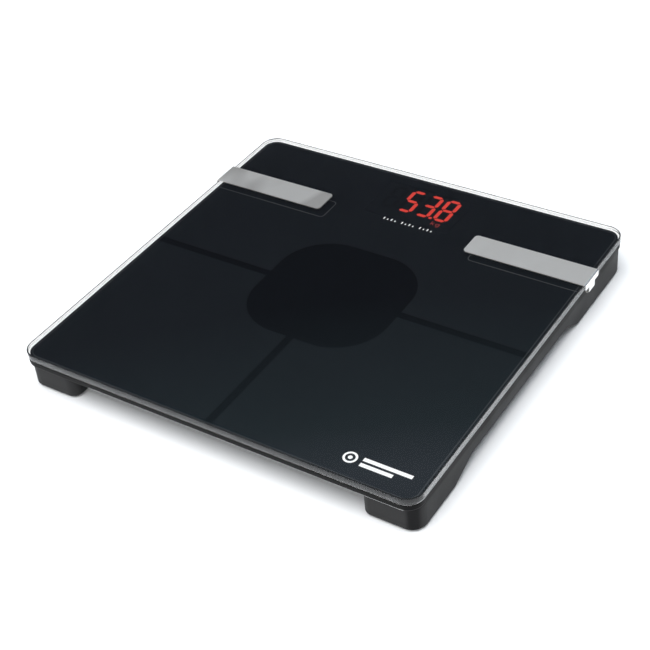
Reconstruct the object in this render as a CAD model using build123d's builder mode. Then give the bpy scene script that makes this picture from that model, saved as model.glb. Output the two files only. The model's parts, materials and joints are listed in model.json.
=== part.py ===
from build123d import *
import os

os.makedirs("parts", exist_ok=True)

# Digital bathroom scale with a square glass platform.
# Millimetres. Origin on the floor under the centre, +X right, +Y towards the display, +Z up.

# Driving dimensions: glass platform
plate_side = 300.0
plate_corner = 11.5
plate_thickness = 5.5
plate_bevel = 0.5
plate_top = 30.0

# Enamel under the glass, and the tape that bonds it
print_margin = 1.9
print_thickness = 0.2
border_inset = 0.6
border_gap = 0.05
tape_thickness = 0.5
tape_width = 5.0
tape_inset = 2.5

# Casing: shallow tray
casing_width = 299.6
casing_depth = 299.0
casing_corner = 11.0
casing_wall = 2.5
belly_bottom = 19.5
belly_thickness = 2.0
belly_edge = 1.6
shelf_thickness = 1.2
shelf_width = 3.5
shelf_bond = 0.2
rib_height = 2.2
rib_thickness = 1.4
rib_centre_y = -50.0
cross_rib_length = 200.0
cross_rib_pitch = 42.0
long_rib_length = 180.0
long_rib_pitch = 48.0
rib_count = 5
label_width = 80.0
label_depth = 44.0
label_corner = 3.0
label_centre_y = -40.0
label_recess = 0.4

# Casing: side rails with a corner block at each end and an arch between them
block_bottom = 1.2
block_inner_x = 110.0
block_setback = 3.5
block_corner = 10.0
block_inner_corner = 7.0
block_wall = 2.2
block_edge = 1.4
arch_top = 10.2
arch_front_foot = -102.0
arch_front_top = -80.0
arch_back_top = 54.0
arch_back_foot = 72.0
arch_round = 12.0
arch_overrun = 4.0

# Casing: pod under the display
pod_bottom = 10.2
pod_half_width = 50.0
pod_front = 42.0
pod_back = 144.0
pod_corner = 9.0
pod_wall = 2.2
pod_edge = 1.5

# Weighing feet
foot_x = 129.9
foot_y = 124.0
foot_opening_radius = 12.3
foot_cap_radius = 12.0
foot_cap_bottom = 0.5
foot_cap_edge = 0.4
foot_flange_radius = 12.9
foot_flange_thickness = 1.2
foot_flange_gap = 0.2
foot_stem_radius = 3.5
foot_pad_radius = 10.0
foot_pad_thickness = 1.4
foot_pad_edge = 0.5
foot_pad_gap = 0.1

# Load cells and their holders
cell_bottom = 8.0
cell_thickness = 1.2
cell_side = 31.0
cell_corner = 8.0
cell_opening = 18.0
cell_opening_corner = 2.0
cell_screw_offset = 11.5
tongue_width = 8.0
tongue_length = 14.0
tongue_corner = 1.5
gauge_width = 4.0
gauge_length = 6.0
gauge_thickness = 0.3
holder_thickness = 1.4

# Screws, with the posts and bosses that hold them
post_radius = 2.0
boss_radius = 2.6
root_overlap = 0.2
pilot_radius = 1.05
post_pilot_depth = 3.0
boss_pilot_depth = 3.5
screw_hole_radius = 1.3
screw_shank_radius = 1.0
screw_head_radius = 2.0
screw_head_height = 1.4
screw_end_gap = 0.2

# Electrode strips
strip_inner_x = 59.4
strip_outer_x = 152.0
strip_centre_y = 88.4
strip_width = 21.0
strip_thickness = 0.5
strip_lift = 0.1
strip_corner = 3.0
strip_outer_bend = 1.3
strip_inner_bend = 0.8
strip_wrap_corner = 1.0
strip_wrap_bottom = 25.9
tab_width = 9.0
tab_bottom = 20.7
tab_inner_x = 142.0
tab_heel = 1.0
tab_root = 1.0
tab_slot_gap = 0.3
tab_slot_inner_x = 145.5
tab_slot_outer_x = 152.5
adhesive_outer_x = 147.5
adhesive_margin = 0.8
adhesive_corner = 2.0

# Seven-segment display
display_x = 3.0
display_y = 119.7
digit_width = 11.6
digit_height = 28.0
digit_pitch = 14.6
segment_width = 2.8
segment_gap = 0.9
segment_clearance = 0.05
point_radius = 1.3
mask_thickness = 1.0
mask_width = 70.0
mask_front_y = 95.0
mask_back_y = 137.0
mask_clearance = 0.15
housing_lift = 0.5
housing_gap = 0.1
housing_inset = 1.0
housing_corner = 1.5
housing_floor = 1.2
well_wall = 1.2
well_margin = 1.5
well_corner = 1.0
lead_row_inset = 3.5
lead_pitch = 5.08
lead_count = 12
lead_side = 0.5
foam_gap = 0.5
foam_width = 2.0

# Main board and its components
board_bottom = 17.2
board_thickness = 1.2
board_half_width = 43.0
board_front_y = 91.0
board_back_y = 140.5
board_corner = 2.0
board_screw_x = 39.5
board_screw_front_y = 94.5
board_screw_back_y = 137.0
chip_height = 1.4
chip_edge = 0.3
controller_side = 12.0
controller_place = (-12.0, 118.0)
small_chip_length = 10.0
small_chip_width = 4.0
small_chip_places = [(8.0, 122.0), (-30.0, 108.0)]
passive_length = 2.0
passive_width = 1.2
passive_height = 0.8
passive_pitch = 3.2
passive_row_pitch = 3.0
capacitor_radius = 2.5
capacitor_height = 3.2
capacitor_places = [(24.0, 124.0), (32.0, 124.0)]
switch_side = 6.0
switch_height = 3.0
switch_well_depth = 1.8
plunger_radius = 1.7
plunger_gap = 0.2
plunger_entry = 0.6

# Unit button
button_x = 22.0
button_y = 96.5
button_radius = 4.0
button_gap = 0.25
button_proud = 0.1
button_edge = 0.4
button_flange_width = 1.0
button_flange_thickness = 0.7
button_flange_lift = 0.1

# Battery bay, cells and contacts
bay_half_width = 26.0
bay_front_y = 49.0
bay_back_y = 85.0
bay_ceiling = 23.2
bay_roof = 0.8
bay_side_wall = 5.0
bay_end_wall = 1.8
battery_count = 3
battery_pitch = 11.2
battery_radius = 5.2
battery_length = 43.6
battery_axis_z = 17.8
battery_edge = 0.6
battery_cap_radius = 1.9
battery_cap_height = 1.0
spring_wire_radius = 0.3
spring_radius = 2.2
spring_pitch = 1.15
spring_taper = 12.0
spring_end_gap = 0.35
contact_thickness = 0.5
contact_side = 8.4
contact_wall_gap = 0.15
contact_boss_side = 3.0
contact_boss_gap = 0.05

# Battery door
door_half_width = 28.7
door_tongue_half_width = 30.3
door_gap = 0.15
door_lower_thickness = 1.0
door_back_y = 86.6
door_front_gap = 0.2
door_roof_gap = 0.1
door_lip = 2.0
channel_overrun = 1.0
ridge_offset = 9.0
ridge_pitch = 2.4
ridge_count = 5
ridge_length = 18.0
ridge_width = 1.0
ridge_depth = 0.5

# Leads
wire_radius = 0.6
wire_lift = 1.2
wire_end_x = 38.6
wire_end_gap = 0.05
wire_rail_z = 15.5
wire_cell_z = 8.6
front_wire_bend = 4.0
electrode_wire_bend = 3.0
back_wire_bend = 2.0

# Worked-out heights
plate_bottom = plate_top - plate_thickness
print_bottom = plate_bottom - print_thickness
rim_top = print_bottom - tape_thickness
belly_floor = belly_bottom + belly_thickness
block_floor = block_bottom + block_wall
pod_floor = pod_bottom + pod_wall
cell_top = cell_bottom + cell_thickness
holder_top = cell_top + holder_thickness
mask_bottom = plate_bottom - mask_thickness
board_top = board_bottom + board_thickness
housing_bottom = board_top + housing_lift
housing_height = mask_bottom - housing_gap - housing_bottom
switch_bottom = board_bottom - switch_height
button_flange_bottom = pod_floor + button_flange_lift
button_flange_top = button_flange_bottom + button_flange_thickness
foot_flange_bottom = block_floor + foot_flange_gap
foot_flange_top = foot_flange_bottom + foot_flange_thickness
wire_level = belly_floor + wire_lift
wire_end_z = board_top + wire_radius + wire_end_gap
post_pilot_bottom = cell_bottom - post_pilot_depth
boss_pilot_bottom = board_bottom - boss_pilot_depth

# Worked-out places and sizes
print_side = plate_side - 2 * print_margin
print_corner = plate_corner - print_margin
border_side = plate_side - 2 * border_inset
border_corner = plate_corner - border_inset
tape_side = plate_side - 2 * tape_inset
tape_corner = plate_corner - tape_inset
tray_width = casing_width - 2 * casing_wall
tray_depth = casing_depth - 2 * casing_wall
tray_corner = casing_corner - casing_wall
block_depth = plate_side - 2 * block_setback
rail_width = casing_width / 2 - block_inner_x
rail_centre_x = block_inner_x + rail_width / 2
arch_front_slope = (arch_top - block_bottom) / (arch_front_top - arch_front_foot)
arch_back_slope = (arch_top - block_bottom) / (arch_back_foot - arch_back_top)
arch_front_end = arch_front_foot - arch_overrun / arch_front_slope
arch_back_end = arch_back_foot + arch_overrun / arch_back_slope
pod_depth = pod_back - pod_front
pod_centre_y = (pod_front + pod_back) / 2
bay_depth = bay_back_y - bay_front_y
bay_centre_y = (bay_front_y + bay_back_y) / 2
battery_rows = [bay_centre_y + (i - (battery_count - 1) / 2) * battery_pitch for i in range(battery_count)]
channel_back = door_back_y + door_gap
channel_depth = channel_back - pod_front + channel_overrun
channel_centre_y = channel_back - channel_depth / 2
door_front = pod_front + door_front_gap
door_depth = door_back_y - door_front
door_thickness = pod_wall - door_front_gap
strip_bottom = plate_top + strip_lift
strip_top = strip_bottom + strip_thickness
strip_wall_x = strip_outer_x - strip_thickness
mask_centre_y = (mask_front_y + mask_back_y) / 2
mask_depth = mask_back_y - mask_front_y
board_centre_y = (board_front_y + board_back_y) / 2
board_depth = board_back_y - board_front_y
feet = {
    "front_left": (-foot_x, -foot_y),
    "front_right": (foot_x, -foot_y),
    "back_left": (-foot_x, foot_y),
    "back_right": (foot_x, foot_y),
}
board_screws = [
    (sx * board_screw_x, y) for sx in (-1, 1) for y in (board_screw_front_y, board_screw_back_y)
]
screw_corners = [(sx * cell_screw_offset, sy * cell_screw_offset) for sx in (-1, 1) for sy in (-1, 1)]
cell_screws = [(x + dx, y + dy) for x, y in feet.values() for dx, dy in screw_corners]
tab_slot_x = (tab_slot_inner_x + tab_slot_outer_x) / 2


def save(piece, name):
    """Labels a finished piece and writes it as its own STEP file."""
    piece.label = name
    export_step(piece, f"parts/{name}.step")


# Glass platform, with a fine bevel round both faces
with BuildPart() as glass_platform:
    with BuildSketch(Plane.XY.offset(plate_bottom)):
        RectangleRounded(plate_side, plate_side, plate_corner)
    extrude(amount=plate_thickness)
    chamfer(glass_platform.faces().sort_by(Axis.Z)[-1].edges(), plate_bevel)
    chamfer(glass_platform.faces().sort_by(Axis.Z)[0].edges(), plate_bevel)
save(glass_platform.part, "glass_platform")

# Black enamel fired on the underside of the glass, with the display's window left open
with BuildPart() as glass_print:
    with BuildSketch(Plane.XY.offset(print_bottom)):
        RectangleRounded(print_side, print_side, print_corner)
        with Locations((display_x, mask_centre_y)):
            Rectangle(mask_width, mask_depth, mode=Mode.SUBTRACT)
    extrude(amount=print_thickness)
save(glass_print.part, "glass_print")

# Narrow white border fired round the black enamel
border_opening = print_side + 2 * border_gap
with BuildPart() as border_print:
    with BuildSketch(Plane.XY.offset(print_bottom)):
        RectangleRounded(border_side, border_side, border_corner)
        RectangleRounded(border_opening, border_opening, print_corner, mode=Mode.SUBTRACT)
    extrude(amount=print_thickness)
save(border_print.part, "border_print")

# Foam tape that bonds the glass to the casing's rim
tape_opening = tape_side - 2 * tape_width
with BuildPart() as bonding_tape:
    with BuildSketch(Plane.XY.offset(rim_top)):
        RectangleRounded(tape_side, tape_side, tape_corner)
        RectangleRounded(tape_opening, tape_opening, tape_corner - tape_width, mode=Mode.SUBTRACT)
    extrude(amount=tape_thickness)
save(bonding_tape.part, "bonding_tape")

# Layout of the seven-segment digits
horizontal_length = digit_width - segment_width - segment_gap
vertical_length = (digit_height - segment_width) / 2 - segment_gap
side_x = (digit_width - segment_width) / 2
quarter_y = (digit_height - segment_width) / 4
segments = {
    "a": (0, 2 * quarter_y, 0),
    "b": (side_x, quarter_y, 90),
    "c": (side_x, -quarter_y, 90),
    "d": (0, -2 * quarter_y, 0),
    "e": (-side_x, -quarter_y, 90),
    "f": (-side_x, quarter_y, 90),
    "g": (0, 0, 0),
}
lit_digits = ["", "acdfg", "abcdg", "abcdefg"]
first_digit_x = display_x - (len(lit_digits) - 1) / 2 * digit_pitch
digit_centres = [first_digit_x + i * digit_pitch for i in range(len(lit_digits))]
point_x = (digit_centres[2] + digit_centres[3]) / 2
point_y = display_y - digit_height / 2 + point_radius


def segment_outline(length, width):
    """Six-sided bar with pointed ends, centred on the current location."""
    half = length / 2
    tip = width / 2
    Polygon(
        (-half, 0),
        (-half + tip, tip),
        (half - tip, tip),
        (half, 0),
        (half - tip, -tip),
        (-half + tip, -tip),
    )


def segment_shapes(lit, growth=0.0):
    """Draws the segments that are lit, unlit or both (lit=None), each grown by growth all round."""
    for centre_x, names in zip(digit_centres, lit_digits):
        for name, (x, y, turn) in segments.items():
            if lit is None or (name in names) == lit:
                length = horizontal_length if turn == 0 else vertical_length
                with Locations(Location((centre_x + x, display_y + y), turn)):
                    segment_outline(length + 2 * growth, segment_width + 2 * growth)
    if lit is not False:
        with Locations((point_x, point_y)):
            Circle(point_radius + growth)


# Mask with an opening for each segment
with BuildPart() as display_mask:
    with BuildSketch(Plane.XY.offset(mask_bottom)):
        with Locations((display_x, mask_centre_y)):
            Rectangle(mask_width - 2 * mask_clearance, mask_depth - 2 * mask_clearance)
    extrude(amount=mask_thickness)
    with BuildSketch(Plane.XY.offset(mask_bottom)):
        segment_shapes(None, segment_clearance)
    extrude(amount=mask_thickness, mode=Mode.SUBTRACT)
save(display_mask.part, "display_mask")

# Light guides that fill the openings, first the lit ones, then the unlit ones
with BuildPart() as lit_segments:
    with BuildSketch(Plane.XY.offset(mask_bottom)):
        segment_shapes(True)
    extrude(amount=mask_thickness)
save(lit_segments.part, "lit_segments")

with BuildPart() as unlit_segments:
    with BuildSketch(Plane.XY.offset(mask_bottom)):
        segment_shapes(False)
    extrude(amount=mask_thickness)
save(unlit_segments.part, "unlit_segments")

# Reflector block of the display, with one light well behind each digit
with BuildPart() as display_housing:
    with BuildSketch(Plane.XY.offset(housing_bottom)):
        with Locations((display_x, mask_centre_y)):
            RectangleRounded(
                mask_width - 2 * housing_inset, mask_depth - 2 * housing_inset, housing_corner
            )
    extrude(amount=housing_height)
    with BuildSketch(Plane.XY.offset(housing_bottom + housing_floor)):
        with Locations([(x, display_y) for x in digit_centres]):
            RectangleRounded(digit_pitch - well_wall, digit_height + 2 * well_margin, well_corner)
    extrude(amount=housing_height, mode=Mode.SUBTRACT)
save(display_housing.part, "display_housing")

# Two rows of leads from the display into the board
lead_rows = [mask_front_y + lead_row_inset, mask_back_y - lead_row_inset]
with BuildPart() as display_leads:
    with BuildSketch(Plane.XY.offset(board_top)):
        for lead_y in lead_rows:
            with Locations((display_x, lead_y)):
                with GridLocations(lead_pitch, 1, lead_count, 1):
                    Rectangle(lead_side, lead_side)
    extrude(amount=housing_lift)
save(display_leads.part, "display_leads")

# Foam frame between the display and the underside of the print
foam_inner_width = mask_width + 2 * foam_gap
foam_inner_depth = mask_depth + 2 * foam_gap
with BuildPart() as display_foam:
    with BuildSketch(Plane.XY.offset(mask_bottom)):
        with Locations((display_x, mask_centre_y)):
            Rectangle(foam_inner_width + 2 * foam_width, foam_inner_depth + 2 * foam_width)
            Rectangle(foam_inner_width, foam_inner_depth, mode=Mode.SUBTRACT)
    extrude(amount=print_bottom - mask_bottom)
save(display_foam.part, "display_foam")

# Main circuit board
with BuildPart() as main_board:
    with BuildSketch(Plane.XY.offset(board_bottom)):
        with Locations((0, board_centre_y)):
            RectangleRounded(2 * board_half_width, board_depth, board_corner)
        with Locations(board_screws):
            Circle(screw_hole_radius, mode=Mode.SUBTRACT)
    extrude(amount=board_thickness)
save(main_board.part, "main_board")

# Controller, weighing amplifier and driver chips under the board
with BuildPart() as board_chips:
    with BuildSketch(Plane.XY.offset(board_bottom - chip_height)):
        with Locations(controller_place):
            Rectangle(controller_side, controller_side)
        with Locations(small_chip_places):
            Rectangle(small_chip_length, small_chip_width)
    extrude(amount=chip_height)
    chamfer(board_chips.faces().group_by(Axis.Z)[0].edges(), chip_edge)
save(board_chips.part, "board_chips")

# Ceramic capacitors and resistors beside the chips, and two cylindrical capacitors
with BuildPart() as board_passives:
    with BuildSketch(Plane.XY.offset(board_bottom - passive_height)):
        with Locations((-12.0, 128.0)):
            with GridLocations(passive_pitch, 1, 5, 1):
                Rectangle(passive_length, passive_width)
        with Locations((8.0, 114.0)):
            with GridLocations(passive_pitch, passive_row_pitch, 4, 2):
                Rectangle(passive_length, passive_width)
    extrude(amount=passive_height)
    with BuildSketch(Plane.XY.offset(board_bottom - capacitor_height)):
        with Locations(capacitor_places):
            Circle(capacitor_radius)
    extrude(amount=capacitor_height)
save(board_passives.part, "board_passives")

# Tact switch under the board, hollowed for its plunger
with BuildPart() as tact_switch:
    with BuildSketch(Plane.XY.offset(switch_bottom)):
        with Locations((button_x, button_y)):
            Rectangle(switch_side, switch_side)
    extrude(amount=switch_height)
    with BuildSketch(Plane.XY.offset(switch_bottom)):
        with Locations((button_x, button_y)):
            Circle(plunger_radius + plunger_gap)
    extrude(amount=switch_well_depth, mode=Mode.SUBTRACT)
save(tact_switch.part, "tact_switch")

# Unit button: a cap in the pod's floor, with a flange that keeps it in
button_bottom = pod_bottom - button_proud
with BuildPart() as unit_button:
    with BuildSketch(Plane.XY.offset(button_bottom)):
        with Locations((button_x, button_y)):
            Circle(button_radius)
    extrude(amount=button_flange_bottom - button_bottom)
    chamfer(unit_button.faces().sort_by(Axis.Z)[0].edges(), button_edge)
    with BuildSketch(Plane.XY.offset(button_flange_bottom)):
        with Locations((button_x, button_y)):
            Circle(button_radius + button_flange_width)
    extrude(amount=button_flange_thickness)
save(unit_button.part, "unit_button")

# Plunger of the tact switch, which stands on the button and moves with it
with BuildPart() as switch_plunger:
    with BuildSketch(Plane.XY.offset(button_flange_top)):
        with Locations((button_x, button_y)):
            Circle(plunger_radius)
    extrude(amount=switch_bottom + plunger_entry - button_flange_top)
save(switch_plunger.part, "switch_plunger")

# Hollow of the two side rails, as a tool that the casing is cut with
with BuildPart() as rail_cavity:
    with BuildSketch(Plane.XY.offset(block_floor)) as cavity_plan:
        with Locations((rail_centre_x, 0)):
            Rectangle(rail_width - 2 * block_wall, block_depth - 2 * block_wall)
        fillet(cavity_plan.vertices().group_by(Axis.X)[-1], block_corner - block_wall)
        fillet(cavity_plan.vertices().group_by(Axis.X)[0], block_inner_corner - block_wall)
        mirror(about=Plane.YZ)
    extrude(amount=belly_floor - block_floor)
    with BuildSketch(Plane.YZ) as raised_arch:
        Polygon(
            (arch_front_end, block_floor - arch_overrun),
            (arch_front_top, arch_top + block_wall),
            (arch_back_top, arch_top + block_wall),
            (arch_back_end, block_floor - arch_overrun),
        )
        fillet(raised_arch.vertices().group_by(Axis.Y)[-1], arch_round)
    extrude(amount=plate_side, both=True, mode=Mode.SUBTRACT)

# Base casing: shallow tray, side rails with corner blocks, and the pod under the display
with BuildPart() as base_casing:
    with BuildSketch(Plane.XY.offset(belly_bottom)):
        RectangleRounded(casing_width, casing_depth, casing_corner)
    extrude(amount=rim_top - belly_bottom)
    fillet(base_casing.faces().sort_by(Axis.Z)[0].edges(), belly_edge)
    # Side rails, each with an arch between its two corner blocks
    with BuildSketch(Plane.XY.offset(block_bottom)) as rail_plan:
        with Locations((rail_centre_x, 0)):
            Rectangle(rail_width, block_depth)
        fillet(rail_plan.vertices().group_by(Axis.X)[-1], block_corner)
        fillet(rail_plan.vertices().group_by(Axis.X)[0], block_inner_corner)
        mirror(about=Plane.YZ)
    extrude(amount=belly_floor - block_bottom)
    with BuildSketch(Plane.YZ) as arch:
        Polygon(
            (arch_front_end, block_bottom - arch_overrun),
            (arch_front_top, arch_top),
            (arch_back_top, arch_top),
            (arch_back_end, block_bottom - arch_overrun),
        )
        fillet(arch.vertices().group_by(Axis.Y)[-1], arch_round)
    extrude(amount=plate_side, both=True, mode=Mode.SUBTRACT)
    low_edges = base_casing.edges().filter_by(lambda e: e.bounding_box().max.Z < arch_top + 0.1)
    fillet(low_edges, block_edge)
    # Pod that gives the batteries and the circuit board their depth
    with BuildSketch(Plane.XY.offset(pod_bottom)):
        with Locations((0, pod_centre_y)):
            RectangleRounded(2 * pod_half_width, pod_depth, pod_corner)
    extrude(amount=belly_floor - pod_bottom)
    pod_faces = base_casing.faces().filter_by(Axis.Z).filter_by(
        lambda f: abs(f.center().X) < 1 and f.center().Z < pod_bottom + 0.1
    )
    fillet(pod_faces.edges(), pod_edge)
    # Hollows: tray, rails and pod
    with BuildSketch(Plane.XY.offset(belly_floor)):
        RectangleRounded(tray_width, tray_depth, tray_corner)
    extrude(amount=rim_top - belly_floor, mode=Mode.SUBTRACT)
    add(rail_cavity.part, mode=Mode.SUBTRACT)
    with BuildSketch(Plane.XY.offset(pod_floor)):
        with Locations((0, pod_centre_y)):
            RectangleRounded(
                2 * (pod_half_width - pod_wall), pod_depth - 2 * pod_wall, pod_corner - pod_wall
            )
    extrude(amount=belly_floor - pod_floor, mode=Mode.SUBTRACT)
    # Shelf round the rim that carries the tape
    with BuildSketch(Plane.XY.offset(rim_top - shelf_thickness)):
        RectangleRounded(tray_width + 2 * shelf_bond, tray_depth + 2 * shelf_bond, tray_corner)
        RectangleRounded(
            tray_width - 2 * shelf_width,
            tray_depth - 2 * shelf_width,
            tray_corner - shelf_width,
            mode=Mode.SUBTRACT,
        )
    extrude(amount=shelf_thickness)
    # Stiffening ribs across the belly
    with BuildSketch(Plane.XY.offset(belly_floor)):
        with Locations((0, rib_centre_y)):
            with GridLocations(1, cross_rib_pitch, 1, rib_count):
                Rectangle(cross_rib_length, rib_thickness)
            with GridLocations(long_rib_pitch, 1, rib_count, 1):
                Rectangle(rib_thickness, long_rib_length)
    extrude(amount=rib_height)
    # Battery bay inside the pod
    with BuildSketch(Plane.XY.offset(pod_floor)):
        with Locations((0, bay_centre_y)):
            Rectangle(2 * (bay_half_width + bay_side_wall), bay_depth + 2 * bay_end_wall)
    extrude(amount=bay_ceiling + bay_roof - pod_floor)
    with BuildSketch(Plane.XY.offset(pod_bottom)):
        with Locations((0, bay_centre_y)):
            Rectangle(2 * bay_half_width, bay_depth)
    extrude(amount=bay_ceiling - pod_bottom, mode=Mode.SUBTRACT)
    # Channel for the sliding door, with a ledge under each of its tongues
    with BuildSketch(Plane.XY.offset(pod_bottom)):
        with Locations((0, channel_centre_y)):
            Rectangle(2 * (door_half_width + door_gap), channel_depth)
    extrude(amount=pod_wall + door_roof_gap, mode=Mode.SUBTRACT)
    with BuildSketch(Plane.XY.offset(pod_bottom + door_lower_thickness)):
        with Locations((0, channel_centre_y)):
            Rectangle(2 * (door_tongue_half_width + door_gap), channel_depth)
    extrude(amount=pod_wall + door_roof_gap - door_lower_thickness, mode=Mode.SUBTRACT)
    # Board bosses with pilot holes
    with BuildSketch(Plane.XY.offset(pod_floor - root_overlap)):
        with Locations(board_screws):
            Circle(boss_radius)
    extrude(amount=board_bottom - pod_floor + root_overlap)
    with BuildSketch(Plane.XY.offset(boss_pilot_bottom)):
        with Locations(board_screws):
            Circle(pilot_radius)
    extrude(amount=boss_pilot_depth, mode=Mode.SUBTRACT)
    # Hole for the unit button
    with BuildSketch(Plane.XY.offset(pod_bottom)):
        with Locations((button_x, button_y)):
            Circle(button_radius + button_gap)
    extrude(amount=pod_wall, mode=Mode.SUBTRACT)
    # Posts under each load cell, with pilot holes, and the openings for the feet
    with BuildSketch(Plane.XY.offset(block_floor - root_overlap)):
        with Locations(cell_screws):
            Circle(post_radius)
    extrude(amount=cell_bottom - block_floor + root_overlap)
    with BuildSketch(Plane.XY.offset(post_pilot_bottom)):
        with Locations(cell_screws):
            Circle(pilot_radius)
    extrude(amount=post_pilot_depth, mode=Mode.SUBTRACT)
    with BuildSketch(Plane.XY.offset(block_bottom)):
        with Locations(list(feet.values())):
            Circle(foot_opening_radius)
    extrude(amount=block_wall, mode=Mode.SUBTRACT)
    # Slots in the side walls for the electrode tabs
    with BuildSketch(Plane.XY.offset(tab_bottom - tab_slot_gap)):
        with Locations((-tab_slot_x, strip_centre_y), (tab_slot_x, strip_centre_y)):
            Rectangle(tab_slot_outer_x - tab_slot_inner_x, tab_width + 2 * tab_slot_gap)
    extrude(amount=strip_thickness + 2 * tab_slot_gap, mode=Mode.SUBTRACT)
    # Shallow blank panel for a rating label
    with BuildSketch(Plane.XY.offset(belly_bottom)):
        with Locations((0, label_centre_y)):
            RectangleRounded(label_width, label_depth, label_corner)
    extrude(amount=label_recess, mode=Mode.SUBTRACT)
save(base_casing.part, "base_casing")

# Battery door: a plate with side tongues, a front lip and finger grooves
door_tongue_bottom = pod_bottom + door_lower_thickness + door_gap
with BuildPart() as battery_door:
    with BuildSketch(Plane.XY.offset(pod_bottom)):
        with Locations((0, door_front + door_depth / 2)):
            Rectangle(2 * door_half_width, door_depth)
    extrude(amount=door_thickness)
    with BuildSketch(Plane.XY.offset(door_tongue_bottom)):
        with Locations((0, door_front + (door_lip + door_depth) / 2)):
            Rectangle(2 * door_tongue_half_width, door_depth - door_lip)
    extrude(amount=pod_bottom + door_thickness - door_tongue_bottom)
    with BuildSketch(Plane.XY.offset(pod_bottom)):
        with Locations((0, door_front + ridge_offset)):
            with GridLocations(1, ridge_pitch, 1, ridge_count):
                Rectangle(ridge_length, ridge_width)
    extrude(amount=ridge_depth, mode=Mode.SUBTRACT)
save(battery_door.part, "battery_door")

# Three AAA cells, side by side, each turned the other way from its neighbour
for i, row_y in enumerate(battery_rows):
    turn = 1 if i % 2 == 0 else -1
    with BuildPart() as battery:
        with BuildSketch(Plane.YZ.offset(-turn * battery_length / 2)):
            with Locations((row_y, battery_axis_z)):
                Circle(battery_radius)
        extrude(amount=turn * (battery_length - battery_cap_height))
        fillet(battery.edges().filter_by(GeomType.CIRCLE), battery_edge)
        with BuildSketch(Plane.YZ.offset(turn * (battery_length / 2 - battery_cap_height))):
            with Locations((row_y, battery_axis_z)):
                Circle(battery_cap_radius)
        extrude(amount=turn * battery_cap_height)
    save(battery.part, f"battery_{i + 1}")

# Coil contacts that press on the negative ends
spring_start = battery_length / 2 + spring_end_gap
spring_end = bay_half_width - spring_end_gap
with BuildPart() as contact_springs:
    for i, row_y in enumerate(battery_rows):
        side = -1 if i % 2 == 0 else 1
        with BuildLine() as coil:
            Helix(
                pitch=spring_pitch,
                height=spring_end - spring_start,
                radius=spring_radius,
                center=(side * spring_start, row_y, battery_axis_z),
                direction=(side, 0, 0),
                cone_angle=spring_taper,
            )
        with BuildSketch(Plane(origin=coil.line @ 0, z_dir=coil.line % 0)):
            Circle(spring_wire_radius)
        sweep(path=coil.line, is_frenet=True)
save(contact_springs.part, "contact_springs")

# Flat contacts at the positive ends, each with a raised boss that touches its cell
contact_outer_x = bay_half_width - contact_wall_gap
contact_inner_x = contact_outer_x - contact_thickness
contact_boss_length = contact_inner_x - battery_length / 2 - contact_boss_gap
with BuildPart() as contact_plates:
    for i, row_y in enumerate(battery_rows):
        side = 1 if i % 2 == 0 else -1
        with Locations((side * (contact_outer_x - contact_thickness / 2), row_y, battery_axis_z)):
            Box(contact_thickness, contact_side, contact_side)
        with Locations((side * (contact_inner_x - contact_boss_length / 2), row_y, battery_axis_z)):
            Box(contact_boss_length, contact_boss_side, contact_boss_side)
save(contact_plates.part, "contact_plates")

# Steel electrode strip: flat top, wrap over the plate's edge, and a tab into the casing
with BuildPart() as electrode_strip:
    with BuildSketch(Plane.XZ.offset(-(strip_centre_y + strip_width / 2))) as strip_profile:
        Polygon(
            (strip_inner_x, strip_top),
            (strip_outer_x, strip_top),
            (strip_outer_x, strip_wrap_bottom),
            (strip_wall_x, strip_wrap_bottom),
            (strip_wall_x, strip_bottom),
            (strip_inner_x, strip_bottom),
        )
        outer_corner = strip_profile.vertices().sort_by_distance((strip_outer_x, strip_top))[0]
        fillet(outer_corner, strip_outer_bend)
        inner_corner = strip_profile.vertices().sort_by_distance((strip_wall_x, strip_bottom))[0]
        fillet(inner_corner, strip_inner_bend)
    extrude(amount=strip_width)
    fillet(electrode_strip.edges().filter_by(Axis.Z).group_by(Axis.X)[0], strip_corner)
    fillet(electrode_strip.edges().filter_by(Axis.X).group_by(Axis.Z)[0], strip_wrap_corner)
    with BuildSketch(Plane.XZ.offset(-(strip_centre_y + tab_width / 2))) as tab_profile:
        Polygon(
            (strip_outer_x, strip_wrap_bottom + tab_root),
            (strip_outer_x, tab_bottom),
            (tab_inner_x, tab_bottom),
            (tab_inner_x, tab_bottom + strip_thickness),
            (strip_wall_x, tab_bottom + strip_thickness),
            (strip_wall_x, strip_wrap_bottom + tab_root),
        )
        heel_corner = tab_profile.vertices().sort_by_distance((strip_outer_x, tab_bottom))[0]
        fillet(heel_corner, tab_heel)
    extrude(amount=tab_width)
save(electrode_strip.part, "electrode_strip_right")

with BuildPart() as left_strip:
    add(mirror(electrode_strip.part, about=Plane.YZ))
save(left_strip.part, "electrode_strip_left")

# Thin adhesive under each strip
adhesive_x = (strip_inner_x + adhesive_outer_x) / 2
adhesive_length = adhesive_outer_x - strip_inner_x - 2 * adhesive_margin
with BuildPart() as strip_adhesive:
    with BuildSketch(Plane.XY.offset(plate_top)):
        with Locations((-adhesive_x, strip_centre_y), (adhesive_x, strip_centre_y)):
            RectangleRounded(adhesive_length, strip_width - 2 * adhesive_margin, adhesive_corner)
    extrude(amount=strip_lift)
save(strip_adhesive.part, "strip_adhesive")

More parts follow.
